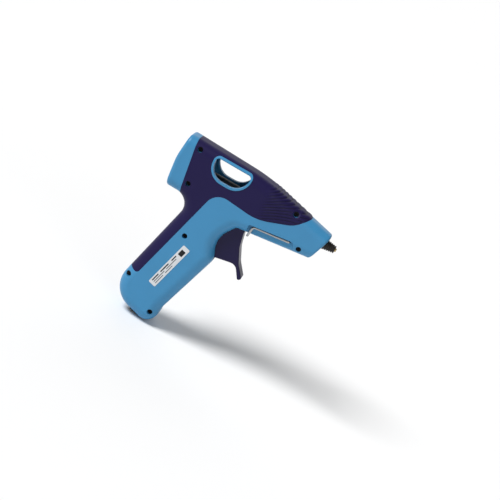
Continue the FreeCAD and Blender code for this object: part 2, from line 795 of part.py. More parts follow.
def heater_parts():
    """Ceramic heater between two contact plates, in a film sleeve, strapped to the chamber."""
    half = PTC_WIDTH / 2
    top = PAD_Z - FILM_T
    plate_low = top - PLATE_T
    stone_low = plate_low - PTC_T
    low = stone_low - PLATE_T
    stone = box(HEATER_REAR, HEATER_FRONT, -half, half, stone_low, plate_low)
    plates = Part.makeCompound(
        [
            box(PLATE_REAR, HEATER_FRONT, -half, half, plate_low, top),
            box(PLATE_REAR, HEATER_FRONT, -half, half, low, stone_low),
        ]
    )
    side = half + 0.1
    film = box(HEATER_REAR, HEATER_FRONT, -side - FILM_T, side + FILM_T, low - FILM_T, PAD_Z)
    film = film.cut(box(HEATER_REAR, HEATER_FRONT, -side, side, low, top))
    middle = (HEATER_REAR + HEATER_FRONT) / 2
    x0 = middle - STRAP_LENGTH / 2
    x1 = middle + STRAP_LENGTH / 2
    inside = CHAMBER_R + STRAP_GAP
    bottom = low - FILM_T
    hole = fused(rod_x(inside, x0, x1), box(x0, x1, -inside, inside, bottom, 0))
    strap = fused(
        rod_x(STRAP_OUTSIDE, x0, x1),
        box(x0, x1, -STRAP_OUTSIDE, STRAP_OUTSIDE, bottom - STRAP_T, 0),
    ).cut(hole)
    fuse = rod_x(FUSE_R, CHAMBER_REAR - 3.0, CHAMBER_REAR + 7.0, 0, STRAP_OUTSIDE + FUSE_R)
    return {
        "ptc_heater": stone,
        "contact_plates": plates,
        "heater_film": film,
        "heater_strap": strap,
        "thermal_fuse": fuse,
    }


# ---- feed carriage, jaw and trigger ----
WING_LOW = 4.3
WING_HIGH = 6.3
JAW_X = CARRIAGE_X + 2.0
JAW_Z = -(STICK_BORE_R + 2.7)
TOOTH_GAP = 0.5
COIL_R = HUB_R + SPRING_HUB_GAP + SPRING_WIRE_R
JAW_BLOCK_LOW = max(JAW_Z - 1.7, COIL_R + SPRING_WIRE_R + RAIL_GAP / 2 - PIVOT_DROP)


def feed_carriage():
    rear = CARRIAGE_X - CARRIAGE_LENGTH / 2
    front = rear + CARRIAGE_LENGTH
    slot_half = JAW_WIDTH / 2 + JAW_GAP
    wing_half = INSIDE - 1.3
    block = fused(
        rod_x(CARRIAGE_R, rear, front),
        box(rear, front, -wing_half, wing_half, WING_LOW, WING_HIGH),
        rod_y(TRUNNION_R, -(ARM_OUT + 0.3), ARM_OUT + 0.3, CARRIAGE_X, 0),
        box(JAW_X - 2.0, JAW_X + 1.9, -(slot_half + JAW_CHEEK), slot_half + JAW_CHEEK, JAW_BLOCK_LOW, -2.5),
    )
    cuts = [
        rod_x(STICK_BORE_R, rear, front),
        box(rear, front, -slot_half, slot_half, JAW_Z - 2.0, -2.5),
        rod_y(JAW_PIN_R, -HALF, HALF, JAW_X, JAW_Z),
    ]
    return block.cut(cuts).removeSplitter()


def clamp_jaw():
    """Toothed lever under the stick, hung on its own pin in the carriage."""
    top = -(STICK_D / 2 + TOOTH_GAP)
    corners = [
        (JAW_X + 1.5, JAW_Z - 1.4, 1.2),
        (JAW_X + 1.5, JAW_Z + 1.3, 0.8),
        (JAW_X - 2.0, top - 1.0, 0),
        (JAW_X - 3.0, top - 0.9, 0),
        (JAW_X - 3.4, top, 0),
        (JAW_X - 3.9, top - 0.9, 0),
        (JAW_X - 4.6, top, 0),
        (JAW_X - 5.2, top - 1.4, 0),
        (JAW_X - 3.2, JAW_Z - 1.2, 1.0),
    ]
    jaw = slab(corners, -JAW_WIDTH / 2, JAW_WIDTH / 2)
    return jaw.cut(rod_y(JAW_PIN_R + RUNNING_GAP, -HALF, HALF, JAW_X, JAW_Z))


def jaw_pin():
    half = JAW_WIDTH / 2 + JAW_GAP + JAW_CHEEK
    return rod_y(JAW_PIN_R, -half, half, JAW_X, JAW_Z)


def trigger_arm(y0, y1):
    """One arm of the fork, with the slot that the carriage's trunnion slides in."""
    reach = PIVOT_DROP / math.cos(SWING)
    arm = box(-ARM_WIDTH / 2, ARM_WIDTH / 2, y0, y1, 0, reach + TRUNNION_R + 1.6)
    half = TRUNNION_R + TRUNNION_GAP
    arm = arm.cut(box(-half, half, y0, y1, PIVOT_DROP - half - TRUNNION_GAP, reach + half + TRUNNION_GAP))
    arm.rotate(V(0, 0, 0), V(0, 1, 0), -PULL_ANGLE / 2)
    arm.translate(V(PIVOT_X, 0, PIVOT_Z))
    return arm


def trigger():
    """Finger lever below the pivot and a fork above it, which drives the carriage."""
    corners = [
        (6.6, -1.6, 1.5),
        (7.4, -9.5, 12),
        (9.8, -20.0, 20),
        (15.4, -31.5, 14),
        (22.7, -40.7, 1.2),
        (20.2, -43.0, 1.2),
        (13.4, -32.8, 6),
        (4.6, -34.6, 12),
        (-8.3, -37.4, 1.5),
        (-12.5, -24.0, 8),
        (-6.4, -9.5, 5),
        (-3.4, -1.6, 1),
    ]
    half = TRIGGER_WIDTH / 2
    lever = slab([(PIVOT_X + x, PIVOT_Z + z, r) for x, z, r in corners], -half, half)
    pad_edges = []
    for edge in lever.Edges:
        mid = edge.valueAt((edge.FirstParameter + edge.LastParameter) / 2)
        if abs(mid.y) > half - 0.1:
            pad_edges.append(edge)
    lever = lever.makeFillet(TRIGGER_EDGE_R, pad_edges)
    lever = lever.cut(rod_y(HUB_R + SPRING_ROOM, -SPRING_HALF, SPRING_HALF, PIVOT_X, PIVOT_Z))
    hub = rod_y(HUB_R, -ARM_OUT, ARM_OUT, PIVOT_X, PIVOT_Z)
    arms = [trigger_arm(ARM_IN, ARM_OUT), trigger_arm(-ARM_OUT, -ARM_IN)]
    body = fused(lever, hub, *arms)
    return body.cut(rod_y(PIVOT_R + RUNNING_GAP, -HALF, HALF, PIVOT_X, PIVOT_Z))


SPRING_ROOM = 1.7
SPRING_HALF = 3.9


def trigger_spring():
    """Return spring: a coil round the hub, with a straight leg at each end."""
    pitch = 2 * SPRING_WIRE_R + 0.25
    length = pitch * SPRING_TURNS
    helix = Part.makeHelix(pitch, length, COIL_R)
    ring = Part.Wire([Part.makeCircle(SPRING_WIRE_R, V(COIL_R, 0, 0), V(0, 1, 0))])
    coil = Part.Wire(helix.Edges).makePipeShell([ring], True, True)
    legs = [
        Part.makeCylinder(SPRING_WIRE_R, 1.6, V(COIL_R, 0.2, 0), V(0, -1, 0)),
        Part.makeCylinder(SPRING_WIRE_R, 1.6, V(COIL_R, -0.2, length), V(0, 1, 0)),
    ]
    spring = coil.fuse(legs)
    spring.translate(V(0, 0, -length / 2))
    spring.rotate(V(0, 0, 0), V(1, 0, 0), 90)
    spring.translate(V(PIVOT_X, 0, PIVOT_Z))
    return spring


# ---- handle: cord inlet, clamp and terminals ----
GLAND_ACROSS = 26.0
CLAMP_DOWN = HANDLE_LENGTH - 18.0
CLAMP_POSTS = (GLAND_ACROSS - 6.5, GLAND_ACROSS + 6.5)
CLAMP_Y = 0.0
CLAMP_T = 3.0
CLAMP_EDGE = 2.4
CLAMP_SCREW_REACH = 6.0


def cord_gland():
    end = HANDLE_LENGTH
    inner = end - WALL
    pieces = [
        handle_rod(GLAND_FLANGE_R, end, end + 1.4, GLAND_ACROSS),
        handle_rod(GLAND_R, inner, end, GLAND_ACROSS),
        handle_rod(GLAND_FLANGE_R, inner - 1.6, inner, GLAND_ACROSS),
    ]
    return fused(*pieces).cut(handle_rod(CORD_R, inner - 2.0, end + 2.0, GLAND_ACROSS))


def cord_clamp():
    """Bar across the cord's way in, screwed to two posts of the left half."""
    low = CLAMP_DOWN - CLAMP_EDGE
    high = CLAMP_DOWN + CLAMP_EDGE
    back = CLAMP_POSTS[0] - CLAMP_EDGE
    front = CLAMP_POSTS[1] + CLAMP_EDGE
    bar = handle_block(low, high, back, front, CLAMP_Y - CLAMP_T, CLAMP_Y)
    cuts = [handle_rod(CORD_R, low - 1.0, high + 1.0, GLAND_ACROSS, CLAMP_Y + 1.1)]
    for across in CLAMP_POSTS:
        x, z = grip(CLAMP_DOWN, across)
        cuts.append(rod_y(SMALL_SCREW_R, CLAMP_Y - CLAMP_T, CLAMP_Y, x, z))
    return bar.cut(cuts)


def small_screw(x, z, seat, tip):
    top = seat - SMALL_HEAD_T
    head = rod_y(SMALL_HEAD_R, top, seat, x, z)
    slot = box(x - 1.2, x + 1.2, top, seat - SMALL_HEAD_T / 2, z - 0.2, z + 0.2)
    return head.fuse(rod_y(SMALL_SCREW_R, seat, tip, x, z)).cut(slot)


def cord_clamp_screws():
    screws = []
    for across in CLAMP_POSTS:
        x, z = grip(CLAMP_DOWN, across)
        screws.append(small_screw(x, z, CLAMP_Y - CLAMP_T, CLAMP_Y + CLAMP_SCREW_REACH))
    return Part.makeCompound(screws)


TERMINAL_R = 1.4
TERMINAL_TOP = 1.0 - BLOCK_HALF
TERMINAL_FLOOR = 4.0 - BLOCK_HALF
TERMINALS = [(BLOCK_TOP + down, across) for down in (2.6, 7.4) for across in (18.4, 24.6)]


def terminal_block():
    stop = BLOCK_TOP + BLOCK_LENGTH
    block = handle_block(BLOCK_TOP, stop, BLOCK_BACK, BLOCK_FRONT, -BLOCK_HALF, BLOCK_HALF)
    holes = []
    for down, across in TERMINALS:
        x, z = grip(down, across)
        holes.append(rod_y(TERMINAL_R, -BLOCK_HALF, TERMINAL_FLOOR, x, z))
    return block.cut(holes)


def terminal_screws():
    screws = []
    for down, across in TERMINALS:
        x, z = grip(down, across)
        body = rod_y(TERMINAL_R, TERMINAL_TOP, TERMINAL_FLOOR, x, z)
        slot = box(x - 2, x + 2, TERMINAL_TOP, TERMINAL_TOP + 0.6, z - 0.2, z + 0.2)
        screws.append(body.cut(slot))
    return Part.makeCompound(screws)


def rating_label():
    return handle_block(
        LABEL_DOWN - LABEL_LENGTH / 2,
        LABEL_DOWN + LABEL_LENGTH / 2,
        LABEL_ACROSS - LABEL_WIDTH / 2,
        LABEL_ACROSS + LABEL_WIDTH / 2,
        -HALF - LABEL_T,
        -HALF,
    )


# ---- all parts ----
def all_parts():
    skin = soft_skin()
    shell = casing(skin)
    parts = {
        "right_shell": shell.common(RIGHT),
        "left_shell": shell.common(LEFT),
        "right_soft_grip": skin.common(RIGHT),
        "left_soft_grip": skin.common(LEFT),
        "rear_cap": rear_cap(),
        "inlet_bush": inlet_bush(),
        "stick_guide": stick_guide(),
        "nozzle": nozzle(),
        "nozzle_sleeve": nozzle_sleeve(),
        "melt_chamber": melt_chamber(),
        "inlet_sleeve": inlet_sleeve(),
        "chamber_rings": chamber_rings(),
        "feed_carriage": feed_carriage(),
        "clamp_jaw": clamp_jaw(),
        "jaw_pin": jaw_pin(),
        "trigger": trigger(),
        "trigger_pivot_pin": rod_y(PIVOT_R, -INSIDE, INSIDE, PIVOT_X, PIVOT_Z),
        "trigger_spring": trigger_spring(),
        "wire_stand": wire_stand(),
        "case_screws": Part.makeCompound([case_screw(x, z) for x, z in SCREW_PLACES]),
        "cord_gland": cord_gland(),
        "cord_clamp": cord_clamp(),
        "cord_clamp_screws": cord_clamp_screws(),
        "terminal_block": terminal_block(),
        "terminal_screws": terminal_screws(),
        "rating_label": rating_label(),
    }
    parts.update(heater_parts())
    parts.update(leads())
    return parts


os.makedirs("parts", exist_ok=True)
for name, shape in all_parts().items():
    shape.exportStep(f"parts/{name}.step")
    print(name, "solids", len(shape.Solids), "valid", shape.isValid(), "volume", round(shape.Volume, 1))
print("stroke", round(STROKE, 3), "pivot", round(PIVOT_X, 3), PIVOT_Z, "carriage", round(CARRIAGE_X, 3))
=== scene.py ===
# %% [markdown]
# # A hot-melt glue gun
# The gun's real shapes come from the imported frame. This lesson gives every piece its finish,
# and models again the few pieces whose surface has detail that the frame leaves plain: the two
# soft skins with their ridges, the window's rims and the label.

# %% Load the frame
import bmesh
import bpy
import json
from math import cos, pi, radians, sin
from mathutils import Matrix, Vector, kdtree


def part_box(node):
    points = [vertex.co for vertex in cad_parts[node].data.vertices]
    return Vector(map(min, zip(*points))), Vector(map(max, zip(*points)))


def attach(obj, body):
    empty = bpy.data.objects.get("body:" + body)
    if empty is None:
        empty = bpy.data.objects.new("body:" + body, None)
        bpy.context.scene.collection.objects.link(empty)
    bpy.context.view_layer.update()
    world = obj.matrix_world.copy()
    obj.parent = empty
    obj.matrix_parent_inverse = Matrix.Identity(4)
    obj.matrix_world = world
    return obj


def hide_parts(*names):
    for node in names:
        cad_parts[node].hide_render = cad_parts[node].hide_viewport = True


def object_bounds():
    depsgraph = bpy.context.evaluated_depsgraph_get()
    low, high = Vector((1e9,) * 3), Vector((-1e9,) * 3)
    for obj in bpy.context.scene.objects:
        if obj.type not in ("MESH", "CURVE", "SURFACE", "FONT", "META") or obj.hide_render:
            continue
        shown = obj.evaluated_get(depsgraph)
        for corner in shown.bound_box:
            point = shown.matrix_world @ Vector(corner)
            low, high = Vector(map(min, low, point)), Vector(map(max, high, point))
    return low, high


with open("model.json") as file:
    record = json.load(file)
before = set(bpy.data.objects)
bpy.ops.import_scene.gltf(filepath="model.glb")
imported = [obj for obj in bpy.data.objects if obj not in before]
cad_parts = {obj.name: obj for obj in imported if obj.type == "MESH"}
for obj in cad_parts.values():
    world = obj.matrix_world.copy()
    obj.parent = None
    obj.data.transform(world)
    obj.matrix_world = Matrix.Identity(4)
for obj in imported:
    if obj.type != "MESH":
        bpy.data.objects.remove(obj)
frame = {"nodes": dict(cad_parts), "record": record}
cad_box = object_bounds()
MM = 0.001
print("nodes in the frame:", len(frame["nodes"]))

# %% [markdown]
# ## Camera
# The gun is seen from its right side, a little from above, through a long lens that keeps its
# proportions true. The camera is rolled, so that the barrel runs down to the right, as on a rest.

# %% Camera
VIEW_AZIMUTH = radians(1.43)
VIEW_ELEVATION = radians(17.08)
VIEW_ROLL = radians(30.0)
VIEW_DISTANCE = 0.903
AIM = Vector((-0.05545, 0.0, -0.03334))
FOCAL_LENGTH = 86.7
FILM_WIDTH = 36.0

away = Vector((
    sin(VIEW_AZIMUTH) * cos(VIEW_ELEVATION),
    -cos(VIEW_AZIMUTH) * cos(VIEW_ELEVATION),
    sin(VIEW_ELEVATION),
))
level = Vector((cos(VIEW_AZIMUTH), sin(VIEW_AZIMUTH), 0.0))
upright = away.cross(level)
right = level * cos(VIEW_ROLL) + upright * sin(VIEW_ROLL)
up = away.cross(right)
turn = Matrix((right, up, away)).transposed().to_4x4()

lens = bpy.data.cameras.new("camera")
lens.lens = FOCAL_LENGTH
lens.sensor_width = FILM_WIDTH
camera = bpy.data.objects.new("camera", lens)
camera.matrix_world = Matrix.Translation(AIM + away * VIEW_DISTANCE) @ turn
bpy.context.scene.collection.objects.link(camera)
bpy.context.scene.camera = camera
print("camera at", [round(v, 3) for v in camera.matrix_world.translation])

# %% [markdown]
# ## Light and floor
# Broad soft suns from above and from both sides give the smooth highlights of a studio table.
# A sun lights the whole floor evenly, where a lamp would leave its far end grey. Each sun also
# has its own shine: the one from behind has none, so that the dark skin's top edge stays dark.

# %% Suns
# Each row is a name, a place, a spread in degrees, a power and a shine.
SUNS = [
    ("key_sun", (-0.72, -0.40, 0.90), 24.0, 3.10, 0.25),
    ("front_sun", (0.70, -1.00, 0.30), 50.0, 0.60, 1.3),
    ("back_sun", (-0.10, 1.00, 0.55), 60.0, 0.50, 0.0),
]


def add_sun(name, place, spread, power, shine):
    data = bpy.data.lights.new(name, "SUN")
    data.angle = radians(spread)
    data.energy = power
    data.specular_factor = shine
    sun = bpy.data.objects.new(name, data)
    sun.location = AIM + Vector(place)
    sun.rotation_euler = Vector(place).to_track_quat("Z", "Y").to_euler()
    bpy.context.scene.collection.objects.link(sun)
    return sun


for entry in SUNS:
    print("sun", add_sun(*entry).name)

world = bpy.data.worlds.new("studio")
world.use_nodes = True
sky = world.node_tree.nodes["Background"]
sky.inputs["Color"].default_value = (0.99, 0.995, 1.0, 1.0)
sky.inputs["Strength"].default_value = 0.24
bpy.context.scene.world = world
bpy.context.scene.view_settings.view_transform = "Standard"

# %% Floor
FLOOR_HALF = 150.0
FLOOR_DROP = 0.0005


def new_piece(name, bm):
    """An object at the origin, made from a bmesh."""
    mesh = bpy.data.meshes.new(name)
    bm.to_mesh(mesh)
    bm.free()
    piece = bpy.data.objects.new(name, mesh)
    bpy.context.scene.collection.objects.link(piece)
    return piece


bm = bmesh.new()
bmesh.ops.create_grid(bm, x_segments=1, y_segments=1, size=FLOOR_HALF)
bmesh.ops.translate(bm, verts=bm.verts, vec=(AIM.x, 0.0, cad_box[0][2] - FLOOR_DROP))
floor = new_piece("floor", bm)
print("floor at", round(cad_box[0][2] - FLOOR_DROP, 4))

# %% [markdown]
# ## Finishes
# Each finish is one shader. Noise read from Object coordinates gives it the small changes of
# colour and gloss that moulded plastic, rubber and metal have, and a fine grain as bump.
# The Bevel node rounds the light on sharp edges, as on a moulded part. Where the two halves
# meet, at Y = 0, a moulded part shows a fine dark line, so the casing's finishes draw one. It stops
# at the leaning joint of the rear cap, which is moulded in one piece.

# %% Node helpers
def wire(tree, source, target):
    tree.links.new(source, target)


def number(tree, operation, first, second):
    """A Math node on a socket and a second value, which is a socket or a number."""
    node = tree.nodes.new("ShaderNodeMath")
    node.operation = operation
    wire(tree, first, node.inputs[0])
    if isinstance(second, float):
        node.inputs[1].default_value = second
    else:
        wire(tree, second, node.inputs[1])
    return node.outputs["Value"]


def blend_colour(tree, factor, first, second):
    """A Mix node between two colours, either of which may be a socket."""
    node = tree.nodes.new("ShaderNodeMix")
    node.data_type = "RGBA"
    wire(tree, factor, node.inputs["Factor"])
    for socket, value in ((node.inputs["A"], first), (node.inputs["B"], second)):
        if isinstance(value, tuple):
            socket.default_value = (*value, 1.0)
        else:
            wire(tree, value, socket)
    return node.outputs["Result"]


# %% Seam colour and painted valley shade
SEAM_HALF = 0.09 * MM
SEAM_SHADE = 0.25
CAP_LEAN = 0.152
CAP_JOINT_X = -124.5 * MM
# Share of the colour left where shade is painted in the valleys between ridges.
PAINTED_VALLEY_SHADE = 0.12


def shade(colour, share):
    return tuple(c * share for c in colour)


def with_painted_valley_shade(tree, paint, colour):
    """Paints shade into the colour between the ridges, as much as the mesh's own attribute gives.
    """
    valley_shade_amount = tree.nodes.new("ShaderNodeAttribute")
    valley_shade_amount.attribute_name = "painted_valley_shade"
    return blend_colour(tree, valley_shade_amount.outputs["Fac"], paint, shade(colour, PAINTED_VALLEY_SHADE))


def with_seam(tree, paint, colour, place):
    """Draws the dark line between the two halves, ahead of the rear cap's leaning joint."""
    axes = tree.nodes.new("ShaderNodeSeparateXYZ")
    wire(tree, place, axes.inputs["Vector"])
    off_middle = number(tree, "ABSOLUTE", axes.outputs["Y"], 0.0)
    near = number(tree, "LESS_THAN", off_middle, SEAM_HALF)
    lean = number(tree, "MULTIPLY", axes.outputs["Z"], CAP_LEAN)
    along = number(tree, "ADD", axes.outputs["X"], lean)
    ahead = number(tree, "GREATER_THAN", along, CAP_JOINT_X)
    line = number(tree, "MULTIPLY", near, ahead)
    return blend_colour(tree, line, paint, shade(colour, SEAM_SHADE))


# %% One finish
CLOUD_SCALE = 55.0
CLOUD_DETAIL = 4.0
GLOSS_SPREAD = 0.05
GRAIN_DETAIL = 1.0
GRAIN_DEPTH = 0.03 * MM
EDGE_SAMPLES = 6


def noise(tree, place, scale, detail):
    node = tree.nodes.new("ShaderNodeTexNoise")
    node.inputs["Scale"].default_value = scale
    node.inputs["Detail"].default_value = detail
    wire(tree, place, node.inputs["Vector"])
    return node.outputs["Fac"]


def finish(
    name, colour, rough, metal=0.0, grain=0.2, grain_size=0.25, patch=0.06, edge=0.25,
    seam=False, spec=0.4, painted_valley_shade=False,
):
    """Principled shader with patchy colour and gloss, fine grain and softened edges."""
    made = bpy.data.materials.new(name)
    made.use_nodes = True
    tree = made.node_tree
    shader = tree.nodes["Principled BSDF"]
    shader.inputs["Metallic"].default_value = metal
    shader.inputs["Specular IOR Level"].default_value = spec
    place = tree.nodes.new("ShaderNodeTexCoord").outputs["Object"]

    cloud = noise(tree, place, CLOUD_SCALE, CLOUD_DETAIL)
    darker = shade(colour, 1 - patch)
    lighter = tuple(min(1.0, c) for c in shade(colour, 1 + patch))
    paint = blend_colour(tree, cloud, darker, lighter)
    # With valleys on, shade is painted into the colour between the ridges.
    if painted_valley_shade:
        paint = with_painted_valley_shade(tree, paint, colour)
    if seam:
        paint = with_seam(tree, paint, colour, place)
    wire(tree, paint, shader.inputs["Base Color"])

    gloss = tree.nodes.new("ShaderNodeMapRange")
    gloss.inputs["To Min"].default_value = rough - GLOSS_SPREAD
    gloss.inputs["To Max"].default_value = rough + GLOSS_SPREAD
    wire(tree, cloud, gloss.inputs["Value"])
    wire(tree, gloss.outputs["Result"], shader.inputs["Roughness"])

    speck = noise(tree, place, 1.0 / (grain_size * MM), GRAIN_DETAIL)
    corner = tree.nodes.new("ShaderNodeBevel")
    corner.samples = EDGE_SAMPLES
    corner.inputs["Radius"].default_value = edge * MM
    bump = tree.nodes.new("ShaderNodeBump")
    bump.inputs["Strength"].default_value = grain
    bump.inputs["Distance"].default_value = GRAIN_DEPTH
    wire(tree, speck, bump.inputs["Height"])
    wire(tree, corner.outputs["Normal"], bump.inputs["Normal"])
    wire(tree, bump.outputs["Normal"], shader.inputs["Normal"])
    return made


# %% [markdown]
# ## The gun's finishes
# The casing is light blue, finely grained plastic, the skin is matt navy rubber, and the trigger is
# a smoother navy. The hidden parts get the finishes that such parts have: cast aluminium, brass,
# silicone, ceramic and film. One table holds them all, so that two finishes are easy to compare.

# %% The gun's finishes
FINISHES = {
    "shell_blue": finish(
        "shell_blue", (0.042, 0.225, 0.430), 0.36, grain=0.35, grain_size=0.3, seam=True, spec=0.35,
    ),
    # The skin's finish also paints shade between its ridges.
    "grip_navy": finish(
        "grip_navy", (0.0105, 0.0070, 0.052), 0.46, grain=0.4, grain_size=0.2, seam=True, spec=0.16,
        painted_valley_shade=True,
    ),
    "trigger_navy": finish("trigger_navy", (0.0090, 0.0065, 0.042), 0.32, grain=0.2, spec=0.2),
    "bush_black": finish("bush_black", (0.010, 0.010, 0.011), 0.45, spec=0.25),
    "gland_rubber": finish("gland_rubber", (0.010, 0.010, 0.011), 0.6, spec=0.25),
    "brass": finish("brass", (0.42, 0.30, 0.13), 0.34, metal=1.0, grain=0.3),
    "sleeve_silicone": finish("sleeve_silicone", (0.013, 0.010, 0.009), 0.42, grain=0.5, spec=0.3),
    "chamber_aluminium": finish("chamber_aluminium", (0.44, 0.45, 0.46), 0.4, metal=1.0, grain=0.6),
    "ring_silicone": finish("ring_silicone", (0.38, 0.05, 0.025), 0.5),
    "mechanism_plastic": finish("mechanism_plastic", (0.046, 0.048, 0.053), 0.45),
    "bright_steel": finish("bright_steel", (0.40, 0.41, 0.42), 0.30, metal=1.0, grain=0.15),
    "screw_steel": finish("screw_steel", (0.012, 0.012, 0.014), 0.45, metal=0.6, spec=0.2),
    "terminal_plastic": finish("terminal_plastic", (0.74, 0.72, 0.66), 0.4),
    "terminal_brass": finish("terminal_brass", (0.55, 0.40, 0.16), 0.3, metal=1.0),
    "label_silver": finish("label_silver", (0.62, 0.64, 0.66), 0.35, grain=0.05),
    "heater_ceramic": finish("heater_ceramic", (0.19, 0.18, 0.17), 0.7),
    "contact_brass": finish("contact_brass", (0.56, 0.38, 0.14), 0.3, metal=1.0),
    "film_amber": finish("film_amber", (0.49, 0.19, 0.025), 0.3),
    "fuse_metal": finish("fuse_metal", (0.39, 0.40, 0.41), 0.35, metal=1.0),
    "lead_brown": finish("lead_brown", (0.107, 0.039, 0.017), 0.4),
    "lead_blue": finish("lead_blue", (0.030, 0.107, 0.352), 0.4),
}
for part in frame["record"]["subparts"]:
    holder = frame["nodes"][part["node"]]
    holder.data.materials.clear()
    holder.data.materials.append(FINISHES[part["material_slot"]])
pale = finish("pale_floor", (0.93, 0.93, 0.93), 0.9, patch=0.0, grain=0.0, spec=0.1)
floor.data.materials.append(pale)
print("finishes:", len(FINISHES))

# %% [markdown]
# ## Soft grips with moulded ridges
# The front of the barrel carries soft curved ridges, which run up across the shoulder and over
# the top. A bump map would leave the outline smooth, so the ridges are cut into the mesh: planes
# slice the skin finely along and across the ridges, and each point is then lifted along its normal.
# The lift fades out near every edge, so that the skin still meets its neighbours.

# %% Working on a copy of a frame piece
MERGE_WITHIN = 0.0005 * MM
SHARP = 32.0


def merged_copy(node):
    """A bmesh of a frame node, with its loose triangles joined into one skin."""
    bm = bmesh.new()
    bm.from_mesh(frame["nodes"][node].data)
    bmesh.ops.remove_doubles(bm, verts=bm.verts, dist=MERGE_WITHIN)
    return bm


def settle(piece, body, slot, *nodes):
    """Smooth shading with sharp edges kept, the slot's finish, and the piece's place on a body."""
    mesh = piece.data
    if "custom_normal" in mesh.attributes:
        mesh.attributes.remove(mesh.attributes["custom_normal"])
    mesh.shade_smooth()
    mesh.set_sharp_from_angle(angle=radians(SHARP))
    mesh.materials.clear()
    mesh.materials.append(FINISHES[slot])
    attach(piece, body)
    if nodes:
        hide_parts(*nodes)
    print(piece.name, "faces:", len(mesh.polygons))

# %% Slicing the nose's skin
RIDGE_RISE = radians(29.0)
RIDGE_ACROSS = Vector((-sin(RIDGE_RISE), 0.0, cos(RIDGE_RISE)))
RIDGES_FROM = -68.0 * MM
RIDGES_TO = -18.0 * MM
RIDGES_LOW = 12.0 * MM
RIDGES_HIGH = 52.0 * MM
ROUND_FROM_Z = 2.0 * MM
FACES_OUT = 0.2
SLICE_ALONG = 0.7 * MM
SLICE_ACROSS = 0.36 * MM
ON_PLANE = 1e-7


def outer_faces(bm):
    """Faces of the nose's skin that look outwards."""
    chosen = []
    for face in bm.faces:
        middle = face.calc_center_median()
        outwards = Vector((0.0, middle.y, middle.z - ROUND_FROM_Z)).normalized()
        if middle.x > RIDGES_FROM and face.normal.dot(outwards) > FACES_OUT:
            chosen.append(face)
    return chosen


def slice_through(bm, normal, first, last, step):
    """Cuts the nose's outer skin with parallel planes."""
    at = first
    while at < last:
        faces = outer_faces(bm)
        edges = {edge for face in faces for edge in face.edges}
        verts = {vert for face in faces for vert in face.verts}
        bmesh.ops.bisect_plane(
            bm, geom=[*verts, *edges, *faces], dist=ON_PLANE, plane_co=normal * at, plane_no=normal,
        )
        at += step


# %% Raising the ridges
# Lengths here are in millimetres.
RIDGE_PITCH = 2.1
RIDGE_HEIGHT = 0.5
RIDGE_FULLNESS = 0.8
RIDGES_FADE = (-67.0, -58.0)
# How narrow the band of painted shade is in each valley.
VALLEY_SHADE_NARROWING = 1.6
BOW_FROM = -56.0
BOW = 0.007
EDGE_ROOM = (0.5, 1.7)
SCREW_AT = Vector((-38.8, 0.0, 10.9))
RING_RADIUS = 3.1
RING_HALF = 0.7
RING_HEIGHT = 0.35
RING_ROOM = 1.2
RING_EDGE_ROOM = (0.1, 0.5)
NEAR_SEAM = 0.1 * MM
SEAM_FACE = 0.99


def fade(value, low, high):
    """0 below low, 1 above high, and smooth between."""
    share = min(1.0, max(0.0, (value - low) / (high - low)))
    return share * share * (3 - 2 * share)


def edge_tree(bm):
    """Points on the skin's sharp outer edges, apart from the seam between the halves."""
    places = []
    for edge in bm.edges:
        if edge.is_manifold and edge.calc_face_angle() > radians(SHARP):
            if max(abs(vert.co.y) for vert in edge.verts) > NEAR_SEAM:
                places += [vert.co for vert in edge.verts]
    tree = kdtree.KDTree(len(places))
    for i, place in enumerate(places):
        tree.insert(place, i)
    tree.balance()
    return tree


def lift(place, gap, ringed):
    """Height of the surface detail, and how much painted shade darkens its valleys, at a place on
    the nose.
    """
    at = place / MM
    bend = max(0.0, at.x - BOW_FROM)
    phase = pi * (at.dot(RIDGE_ACROSS) + BOW * bend * bend) / RIDGE_PITCH
    share = fade(at.x, *RIDGES_FADE) * fade(gap, *EDGE_ROOM)
    ring = 0.0
    if ringed:
        from_screw = (Vector((at.x, 0.0, at.z)) - SCREW_AT).length
        share *= fade(from_screw, RING_RADIUS, RING_RADIUS + RING_ROOM)
        crown = max(0.0, 1.0 - ((from_screw - RING_RADIUS) / RING_HALF) ** 2)
        ring = RING_HEIGHT * crown * fade(gap, *RING_EDGE_ROOM)
    wave = abs(sin(phase)) ** RIDGE_FULLNESS
    valley_shade_amount = max(0.0, 1.0 - VALLEY_SHADE_NARROWING * wave) * share
    return RIDGE_HEIGHT * wave * share + ring, valley_shade_amount


# %% The two ridged skins
def outward_at(vert):
    """Mean normal of the skin round a vertex, without the flat face on the seam."""
    on_seam = abs(vert.co.y) <= NEAR_SEAM
    normals = [
        face.normal for face in vert.link_faces if not (on_seam and abs(face.normal.y) >= SEAM_FACE)
    ]
    return sum(normals, Vector()).normalized() if normals else None


def ridged_skin(side):
    node = side + "_soft_grip"
    bm = merged_copy(node)
    slice_through(bm, Vector((1.0, 0.0, 0.0)), RIDGES_FROM, RIDGES_TO, SLICE_ALONG)
    slice_through(bm, RIDGE_ACROSS, RIDGES_LOW, RIDGES_HIGH, SLICE_ACROSS)
    tree = edge_tree(bm)
    moves = []
    # Each point also keeps how much painted shade darkens its colour, deepest in the valleys.
    painted_valley_shade = bm.verts.layers.float.new("painted_valley_shade")
    chosen = {vert for face in outer_faces(bm) for vert in face.verts}
    for vert in chosen:
        outwards = outward_at(vert)
        if outwards is None:
            continue
        gap = tree.find(vert.co)[2] / MM
        height, valley_shade_amount = lift(vert.co, gap, side == "right")
        moves.append((vert, outwards * height * MM, valley_shade_amount))
    for vert, move, valley_shade_amount in moves:
        vert.co += move
        vert[painted_valley_shade] = valley_shade_amount
    settle(new_piece(side + "_ridged_grip", bm), "casing", "grip_navy", node)


for side in ("right", "left"):
    ridged_skin(side)

